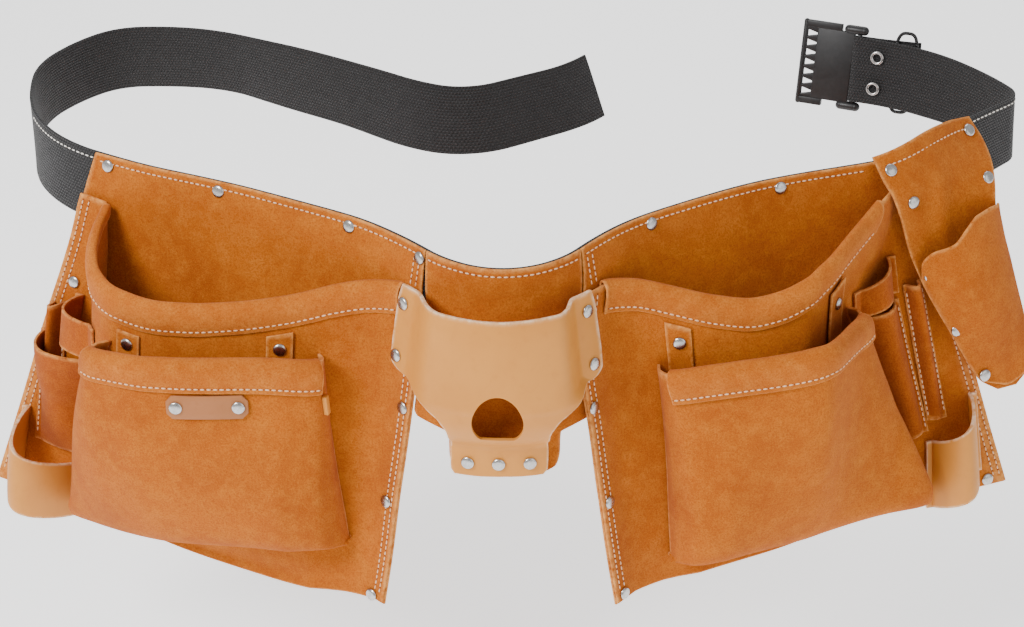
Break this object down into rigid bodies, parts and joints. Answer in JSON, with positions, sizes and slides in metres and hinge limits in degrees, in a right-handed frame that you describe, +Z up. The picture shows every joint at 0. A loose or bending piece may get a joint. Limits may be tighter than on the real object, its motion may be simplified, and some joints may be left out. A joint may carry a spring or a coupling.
{
  "type": "tool belt",
  "caption": "Suede tool belt with two bulging nail bags, front pouches, tape holder, holster, hammer loops and open black webbing strap, in its worn form.",
  "frame": {"origin": "belt's inner face at the middle of the front, half way up the webbing", "axes": "+X to the right as seen from the front, -Y out of the front, away from the wearer, +Z up"},
  "size_m": [0.7599, 0.4014, 0.288],
  "materials": {
    "suede": "napped orange-tan suede",
    "smooth_leather": "smooth pale vegetable-tanned leather",
    "black_webbing": "black woven webbing",
    "black_plastic": "moulded black plastic",
    "nickel": "plain nickel-plated caps"
  },
  "bodies": {
    "root": {"buckle_frame": "black_plastic", "centre_panel": "suede", "hanger_rivet_1": "nickel", "hanger_rivet_2": "nickel", "hanger_rivet_3": "nickel", "hanger_rivet_4": "nickel", "holder_rivet_1": "nickel", "holder_rivet_2": "nickel", "holder_rivet_3": "nickel", "holder_rivet_4": "nickel", "holder_rivet_5": "nickel", "holder_rivet_6": "nickel", "holder_rivet_7": "nickel", "holster_hanger": "suede", "holster_pocket": "suede", "keeper_ring": "black_plastic", "left_back_panel": "suede", "left_front_pouch": "suede", "left_front_rim": "suede", "left_hammer_loop": "smooth_leather", "left_inner_gusset_tab": "suede", "left_inner_tab_rivet": "nickel", "left_main_pouch": "suede", "left_main_rim": "suede", "left_outer_gusset_tab": "suede", "left_outer_tab_rivet": "nickel", "left_pencil_sleeve": "suede", "left_plate_rivet": "nickel", "left_rivet_1": "nickel", "left_rivet_2": "nickel", "left_rivet_3": "nickel", "left_rivet_4": "nickel", "left_rivet_5": "nickel", "left_rivet_6": "nickel", "left_side_loop": "suede", "left_tool_pocket": "suede", "lower_eyelet": "nickel", "name_plate": "smooth_leather", "right_back_panel": "suede", "right_front_pouch": "suede", "right_front_rim": "suede", "right_hammer_loop": "smooth_leather", "right_inner_gusset_tab": "suede", "right_inner_tab_rivet": "nickel", "right_main_pouch": "suede", "right_main_rim": "suede", "right_outer_gusset_tab": "suede", "right_outer_tab_rivet": "nickel", "right_pencil_sleeve": "suede", "right_plate_rivet": "nickel", "right_rivet_1": "nickel", "right_rivet_2": "nickel", "right_rivet_3": "nickel", "right_rivet_4": "nickel", "right_side_loop": "suede", "right_tool_pocket": "suede", "side_tab": "smooth_leather", "tape_holder": "smooth_leather", "upper_eyelet": "nickel", "webbing": "black_webbing"}
  },
  "joints": []
}
